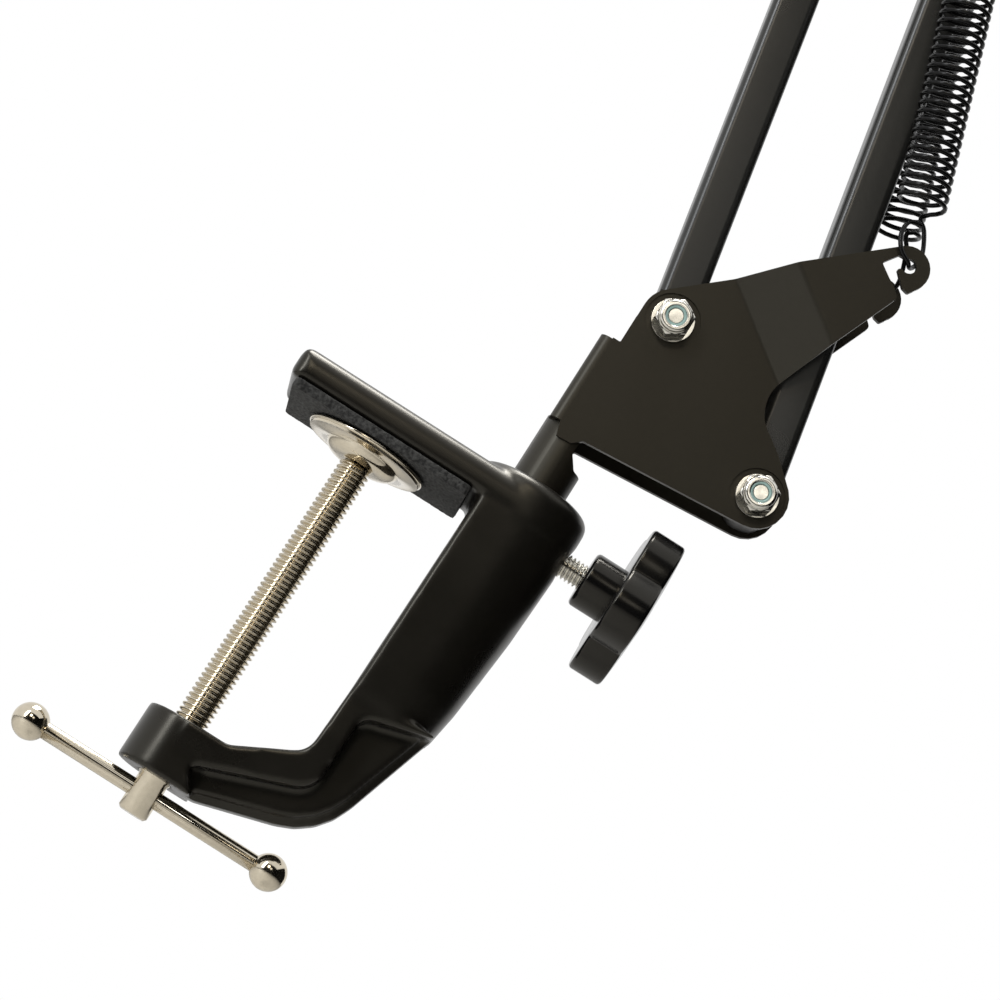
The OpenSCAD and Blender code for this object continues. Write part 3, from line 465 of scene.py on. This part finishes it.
def islands(node):
    """The low and high corners of each separate solid of a node."""
    work = bmesh.new()
    work.from_mesh(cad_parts[node].data)
    bmesh.ops.remove_doubles(work, verts=work.verts, dist=same_corner)
    left, found = set(work.verts), []
    while left:
        grown, front = set(), [left.pop()]
        while front:
            vert = front.pop()
            grown.add(vert)
            for edge in vert.link_edges:
                other = edge.other_vert(vert)
                if other in left:
                    left.discard(other)
                    front.append(other)
        found.append((Vector([min(v.co[i] for v in grown) for i in range(3)]),
                      Vector([max(v.co[i] for v in grown) for i in range(3)])))
    work.free()
    return found


def hexed(name, levels, place):
    """A turned piece whose [radius, height, hexagonal] levels may be cut to a hexagon."""
    flats, steps, sixth = 8.0, 96, math.pi / 3
    corners = []
    for radius, height, hexagonal in levels:
        for k in range(steps):
            a = 2 * math.pi * k / steps
            side = flats / 2 / math.cos((a + sixth / 2) % sixth - sixth / 2)
            corners.append(round_corner(min(radius, side) if hexagonal else radius, height, a))
    thing = welded(name, corners, steps, place)
    smooth_by_angle(thing, 24)
    return thing


def chamfer_levels(r, at, up, count=5):
    """Levels of a 30 degree chamfer that meets radius r at a height, above or below it."""
    width, slope = 0.55, 0.577
    return [(r + width * i / count, at + up * width * i / count * slope, True)
            for i in range(count + 1)]


def plain(outline):
    """Levels of [radius, height] points that stay round."""
    return [(r, z, False) for r, z in outline]


def lock_nut_levels(top):
    """The hexagon between its two chamfers, then the collar rolled in over the ring."""
    face_r, collar_h, collar_r, roll_r, hole_r = 4.1, 1.15, 3.71, 0.66, 2.46
    levels = plain([(2.6, 0.3), (2.9, 0)]) + chamfer_levels(face_r, 0, 1)
    levels += chamfer_levels(face_r, top - collar_h, -1)[::-1]
    levels += plain([(3.86, top - 1.1), (3.74, top - 0.98)])
    levels += plain(bend(collar_r - roll_r, top - roll_r, roll_r, 0, 90, 7))
    return levels + plain([(2.6, top - 0.03), (hole_r, top - 0.12), (hole_r, top - 0.75),
                           (2.3, top - 0.8)])


def nut_ring_levels(top):
    """The nylon ring, seen in the nut's mouth."""
    return plain([(2.45, top - 0.5), (2.4, top - 0.34), (2.15, top - 0.26), (1.95, top - 0.32),
                  (1.8, top - 0.45), (2.2, top - 0.7)])


def bolt_levels(tip):
    """A hexagonal head, then a plain shank to its chamfered tip."""
    head_h, shank_r, tip_r = 3.5, 2.44, 1.6
    levels = plain([(0, 0.05), (3.6, 0)]) + chamfer_levels(3.85, 0.05, 1) + [(9, head_h, True)]
    return levels + plain([(shank_r + 0.03, head_h), (shank_r, tip - 1.0), (tip_r + 0.08, tip - 0.06),
                           (tip_r, tip - 0.01), (0, tip - 0.01)])


def placings(node):
    """For each solid of a node, its place with Z towards the near side, and its length."""
    for low, high in islands(node):
        at = Matrix.Translation(((low.x + high.x) / 2, high.y, (low.z + high.z) / 2))
        yield at @ Matrix.Rotation(math.pi / 2, 4, "X"), (high.y - low.y) * 1000


def carry_fasteners(group, body):
    made = []
    for place, top in placings(group + "_nuts"):
        nut = hexed(group + " lock nut", lock_nut_levels(top), place)
        ring = hexed(group + " nut ring", nut_ring_levels(top), place)
        made += [(nut, "_nuts", zinc, "zinc"), (ring, "_nut_inserts", nylon_ring, "nut_insert")]
    for place, tip in placings(group + "_bolts"):
        made.append((hexed(group + " bolt", bolt_levels(tip), place), "_bolts", zinc, "zinc"))
    for thing, kind, material, slot in made:
        thing.data.materials.append(material)
        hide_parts(group + kind)
        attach(thing, body)
    carry(group + "_washers", group + " washers", zinc, body, edge=0.12)
    carry(group + "_sleeves", group + " sleeves", plain_steel, body, edge=0)


carry_fasteners("base", "base")


# Lower tubes. Square steel tube, drawn with round corners and sprayed satin
# black, with a moulded nylon block plugged into each end for the pivots.
tube_paint = finish("satin black on drawn tube", (0.014, 0.0142, 0.013), 0.3, grain=600,
                    bump=0.15, bump_mm=0.02, mottle=30, rough_spread=0.04, tint=0.05)
nylon = finish("black moulded nylon", (0.012, 0.0122, 0.0125), 0.42, grain=500, bump=0.25,
               bump_mm=0.03, mottle=60)
carry("lower_rear_tube", "lower rear tube", tube_paint, "lower_rear", edge=0.12)
carry("lower_rear_ends", "lower rear end blocks", nylon, "lower_rear", edge=0.3)
carry("lower_front_tube", "lower front tube", tube_paint, "lower_front", edge=0.12)
carry("lower_front_ends", "lower front end blocks", nylon, "lower_front", edge=0.3)
carry("lower_spring_pin", "lower spring pin", plain_steel, "lower_front", edge=0)


# Lower springs. Two close-wound springs in black spring wire, stretched between
# the eyes of the base bracket's ears and the pin through the front tube.
def tube_along(name, points, radius, sides=8):
    """A round wire through points in metres, its section carried without twist."""
    corners = []
    normal = None
    last = len(points) - 1
    for i, point in enumerate(points):
        ahead = (points[min(i + 1, last)] - points[max(i - 1, 0)]).normalized()
        if normal is None:
            normal = ahead.orthogonal().normalized()
        normal = (normal - ahead * normal.dot(ahead)).normalized()
        side = ahead.cross(normal)
        for k in range(sides):
            a = 2 * math.pi * k / sides
            corners.append(point + (normal * math.cos(a) + side * math.sin(a)) * radius / 1000)
    return capped(name, corners, sides)


def eased(points, per_span=6):
    """A smooth line through [along, across, out] points."""
    line = []
    for i in range(len(points) - 1):
        a, b = Vector(points[max(i - 1, 0)]), Vector(points[i])
        c, d = Vector(points[i + 1]), Vector(points[min(i + 2, len(points) - 1)])
        for k in range(per_span):
            t = k / per_span
            line.append(b + (c - a) * 0.5 * t + (a * 2 - b * 5 + c * 4 - d) * 0.5 * t * t
                        + (b * 3 - a - c * 3 + d) * 0.5 * t * t * t)
    return line + [Vector(points[-1])]


spring_steel = finish("black spring wire", (0.0035, 0.0035, 0.0036), 0.22, grain=700, bump=0.15,
                      bump_mm=0.01, mottle=120, rough_spread=0.06, shine=0.2)
wire_r, mid_r, spring_y, turns = 0.56, 5.44, 12.2, 34
ear_middle, span = 14.25, 100.6
hook = [(10.6, 0.8, 13.2), (10.1, -2.2, 14.6), (6.6, -3.6, 16.1), (2.8, -2.9, 16.7),
        (0.5, -0.7, 16.0), (0.0, 0.1, ear_middle), (0.6, 1.1, 12.5), (3.0, 2.7, 11.2),
        (6.4, 3.0, 10.2), (11.0, 2.5, 8.6), (13.4, 1.5, 7.4), (14.5, 1.6, 6.95)]
coil_from, coil_to = 15.6, span - 9 - wire_r
steps_a_turn, lead_in = 20, 3
coil = [(coil_from + (coil_to - coil_from) * i / (turns * steps_a_turn),
         mid_r * math.cos(2 * math.pi * i / steps_a_turn),
         spring_y + mid_r * math.sin(2 * math.pi * i / steps_a_turn))
        for i in range(-lead_in, turns * steps_a_turn + 1)]
loop_r = 2.5
far_loop = [(coil_to + 1.3, mid_r - 0.1, spring_y + 1.5), (coil_to + 3.4, mid_r - 1, spring_y + 0.9)]
far_loop += [(span + loop_r * math.sin(math.radians(a)), loop_r * math.cos(math.radians(a)), spring_y)
             for a in range(-5, 181, 37)]
far_loop += [(span - 2.4, -loop_r, spring_y), (span - 4.4, -loop_r + 0.7, spring_y)]


def carry_spring(node, name, eye, pin, side):
    away = (pin - eye).normalized()
    sideways = Vector((away.z, 0, -away.x))
    line = eased(hook) + [Vector(p) for p in coil] + eased([coil[-1]] + far_loop)[1:]
    points = [eye + (away * q.x + sideways * q.y) / 1000 + Vector((0, side * q.z / 1000, 0))
              for q in line]
    wire = tube_along(name, points, wire_r)
    wire.data.shade_smooth()
    wire.data.materials.append(spring_steel)
    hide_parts(node)
    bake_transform(wire)


def middle(node):
    low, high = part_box(node)
    return (Vector(low) + Vector(high)) / 2


lower_pin = middle("lower_spring_pin")
pivot_to_eye = Vector((0.0015, 0, 0.0616))
lower_front_pivot = Vector((0.0784, 0, 0.0369))
lower_eye = lower_front_pivot + pivot_to_eye
carry_spring("lower_spring_near", "lower near spring", lower_eye, lower_pin, -1)
carry_spring("lower_spring_far", "lower far spring", lower_eye, lower_pin, 1)


# Elbow bracket. The same ears as the base bracket's, turned to the upper tubes,
# on two plates that hold four pivots and are folded over on one side.
carry("elbow_bracket", "elbow bracket", powder_coat, "elbow", edge=0.22)
carry_fasteners("elbow", "elbow")


# Upper tubes. As the lower ones, from the elbow to the microphone end.
carry("upper_rear_tube", "upper rear tube", tube_paint, "upper_rear", edge=0.12)
carry("upper_rear_ends", "upper rear end blocks", nylon, "upper_rear", edge=0.3)
carry("upper_front_tube", "upper front tube", tube_paint, "upper_front", edge=0.12)
carry("upper_front_ends", "upper front end blocks", nylon, "upper_front", edge=0.3)
carry("upper_spring_pin", "upper spring pin", plain_steel, "upper_front", edge=0)


# Upper springs. The same two springs between the elbow bracket's eyes and the pin
# through the upper front tube.
lower_dir, upper_dir, pivot_to_pin = math.radians(100.6), math.radians(160), 0.160
upper_pin = middle("upper_spring_pin")
upper_front_pivot = upper_pin - Vector((math.cos(upper_dir), 0, math.sin(upper_dir))) * pivot_to_pin
upper_eye = upper_front_pivot + Matrix.Rotation(lower_dir - upper_dir, 3, "Y") @ pivot_to_eye
carry_spring("upper_spring_near", "upper near spring", upper_eye, upper_pin, -1)
carry_spring("upper_spring_far", "upper far spring", upper_eye, upper_pin, 1)


# Head bracket. Two folded plates that hold the ends of both upper tubes level and
# carry the tilt joint.
carry("head_bracket", "head bracket", powder_coat, "head", edge=0.22)
carry_fasteners("head", "head")


# Tilt joint. An M6 screw through the plates and the block, tightened by a small
# lobed knob over a washer.
carry("tilt_screw", "tilt screw", zinc, "head", edge=0.12)
carry("tilt_washer", "tilt washer", zinc, "tilt_washer", edge=0.12)
tilt_at = middle("tilt_knob")
small_high = -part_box("tilt_knob")[0].y * 1000
small_low = -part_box("tilt_knob")[1].y * 1000
small_hub_len, small_r, small_depth = 2, 13, 2.4
small = knob_levels(small_low + small_hub_len, small_high, round_off=1, dome=0.6, count=5,
                    shares=(0.95, 0.85, 0.65, 0.4, 0.0))
to_near_side = Matrix.Translation((tilt_at.x, 0, tilt_at.z)) @ Matrix.Rotation(math.pi / 2, 4, "X")
small_knob = lobed_knob("tilt knob", small_r, small_depth, lobe_count, small, to_near_side, 160)
smooth_by_angle(small_knob, 45)
small_knob.data.materials.append(gloss_plastic)
small_hub = knob_hub("tilt knob hub", 3.1, hub_r, round_off=0.6, low=small_low,
                     high=small_low + small_hub_len + 0.4, bore_top=small_low + 0.6, steps=48,
                     place=to_near_side)
smooth_by_angle(small_hub, 40)
small_hub.data.materials.append(gloss_plastic)
for part in (small_knob, small_hub):
    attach(part, "tilt_knob")
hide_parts("tilt_knob")


# Tilting block. A die-cast block with a turned stem and swivel pin, sprayed black,
# and the screw that keeps the adapter on the pin.
carry("tilt_block", "tilting block", cast_paint, "tilt_block", edge=0.3)
carry("adapter_screw", "adapter screw", zinc, "tilt_block", edge=0.1)


# Microphone adapter. Turned brass with a knurled collar and the coarse thread that
# microphone clips screw on to.
brass = finish("turned brass", (0.62, 0.43, 0.16), 0.24, metal=1.0, grain=900, bump=0.12,
               bump_mm=0.01, mottle=150, rough_spread=0.06, tint=0.05)
adapter_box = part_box("mic_adapter")
adapter_at = middle("mic_adapter")
adapter_low, adapter_high = adapter_box[0].z * 1000, adapter_box[1].z * 1000
upright_at = Matrix.Translation((adapter_at.x, 0, 0))
collar_r, knurl_r, collar_len, edge_r, bore_r = 10, 9.99, 7, 0.7, 4.1
ribs, knurl_depth = 60, 0.035
collar_low = adapter_high - collar_len
collar = revolve("adapter collar", [(bore_r, adapter_high)]
                 + bend(collar_r - edge_r, adapter_high - edge_r, edge_r, 90, 0)
                 + [(collar_r, adapter_high - 1.1), (knurl_r, adapter_high - 1.3),
                    (knurl_r, collar_low + 1.3), (collar_r, collar_low + 1.1)]
                 + bend(collar_r - edge_r, collar_low + edge_r, edge_r, 0, -90)
                 + [(bore_r, collar_low)], 360, upright_at)
for point in collar.data.vertices:
    out = Vector((point.co.x - adapter_at.x, point.co.y))
    if abs(out.length * 1000 - knurl_r) < 0.005:
        rib = abs(math.sin(ribs / 2 * math.atan2(out.y, out.x)))
        out *= 1 - knurl_depth * (1 - rib)
        point.co.x, point.co.y = adapter_at.x + out.x, out.y
smooth_by_angle(collar, 35)
collar.data.materials.append(brass)
thread_r, thread_pitch = 7.94, 0.941
thread = threaded_rod("adapter thread", thread_r, thread_pitch, adapter_low, collar_low + 0.3,
                      upright_at, 72, 0.8)
work = bmesh.new()
work.from_mesh(thread.data)
bmesh.ops.delete(work, geom=[f for f in work.faces if len(f.verts) > 4], context="FACES_ONLY")
work.to_mesh(thread.data)
work.free()
smooth_by_angle(thread, 60)
thread.data.materials.append(brass)
pin_bore_r, pin_bore_depth = 5.3, 4.1
bore = revolve("adapter bore", [(7.2, adapter_low), (pin_bore_r, adapter_low),
                                (pin_bore_r, adapter_low + pin_bore_depth),
                                (4.05, adapter_low + pin_bore_depth), (4.05, adapter_high)],
               64, upright_at)
smooth_by_angle(bore, 30)
bore.data.materials.append(brass)
for part in (collar, thread, bore):
    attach(part, "mic_adapter")
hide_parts("mic_adapter")


# Studio. The world is white to the camera and in reflections and dim otherwise. A
# pale plain floor lies below, soft panels light the arm, and two black flags in front
# and at the right, which the camera doesn't see, keep the blacks dark in reflections.
world = bpy.data.worlds.new("studio")
bpy.context.scene.world = world
world.use_nodes = True
nodes, links = world.node_tree.nodes, world.node_tree.links
backdrop = nodes["Background"]
backdrop.inputs["Color"].default_value = (1, 1, 1, 1)
path = nodes.new("ShaderNodeLightPath")
level = nodes.new("ShaderNodeMapRange")
level.inputs["To Min"].default_value = 0.1
level.inputs["To Max"].default_value = 1.0
seen = path.outputs["Is Camera Ray"]
for kind in ("Is Glossy Ray", "Is Transmission Ray"):
    either = nodes.new("ShaderNodeMath")
    either.operation = "MAXIMUM"
    links.new(seen, either.inputs[0])
    links.new(path.outputs[kind], either.inputs[1])
    seen = either.outputs["Value"]
links.new(seen, level.inputs["Value"])
links.new(level.outputs["Result"], backdrop.inputs["Strength"])


def sheet(name, corners, material):
    """A four-cornered sheet of the studio."""
    mesh = bpy.data.meshes.new(name)
    mesh.from_pydata(corners, [], [(0, 1, 2, 3)])
    thing = add_object(name, mesh)
    thing.data.materials.append(material)
    return thing


floor_paint = finish("pale floor", (0.72, 0.72, 0.71), 0.6, grain=40, bump=0.05, bump_mm=0.2,
                     mottle=3, tint=0.02)
size, depth, flag_top = 1.6, -0.30, 1.4
floor = sheet("floor", [(-size, -size, depth), (size, -size, depth), (size, size, depth),
                        (-size, size, depth)], floor_paint)
cloth = finish("black flag cloth", (0.012, 0.012, 0.012), 0.9, grain=300, bump=0.2, bump_mm=0.2,
               mottle=8, tint=0.05, shine=0.1)
for name, start, end in (("front flag", (-1.5, -1.5), (1.5, -1.5)),
                         ("right flag", (1.4, -1.5), (1.4, 0.9))):
    flag = sheet(name, [(*start, depth), (*end, depth), (*end, flag_top), (*start, flag_top)], cloth)
    flag.visible_camera = False


def panel(name, at, width, height, power, tint=(1, 1, 1)):
    light = bpy.data.lights.new(name, "AREA")
    light.shape = "RECTANGLE"
    light.size, light.size_y, light.energy, light.color = width, height, power, tint
    lamp = bpy.data.objects.new(name, light)
    bpy.context.scene.collection.objects.link(lamp)
    lamp.location = at
    lamp.rotation_euler = (Vector((0.02, 0, 0.02)) - Vector(at)).to_track_quat("-Z", "Y").to_euler()
    lamp.visible_camera = False


panel("left panel", (-0.7, -0.7, 0.35), 0.2, 0.8, 6, (0.95, 0.97, 1))
panel("top panel", (-0.2, 0.1, 1.0), 0.6, 0.4, 16, (1, 0.98, 0.95))
panel("upper front panel", (-0.3, -1.2, 0.55), 0.3, 0.3, 2, (1, 0.9, 0.74))
panel("front panel", (0.1, -1.1, 0.36), 0.22, 0.18, 0.22, (1, 0.96, 0.88))
panel("low back panel", (0.1, 0.9, -0.6), 1.2, 0.6, 0.8)


# Camera. It looks a little upward and is rolled, as the photograph was framed.
camera = bpy.data.cameras.new("camera")
camera.sensor_width = 36
camera.lens = 122.4
eye = bpy.data.objects.new("camera", camera)
bpy.context.scene.collection.objects.link(eye)
right = Vector((0.84372, -0.11352, 0.52464))
up = Vector((-0.53678, -0.17963, 0.82438))
back = Vector((0.00065, -0.97716, -0.21249))
at = Vector((0.0312428, -0.7375966, -0.1539586))
eye.matrix_world = Matrix(((right.x, up.x, back.x, at.x), (right.y, up.y, back.y, at.y),
                           (right.z, up.z, back.z, at.z), (0, 0, 0, 1)))
camera.clip_start = 0.01
bpy.context.scene.camera = eye
bpy.context.scene.view_settings.view_transform = "Standard"
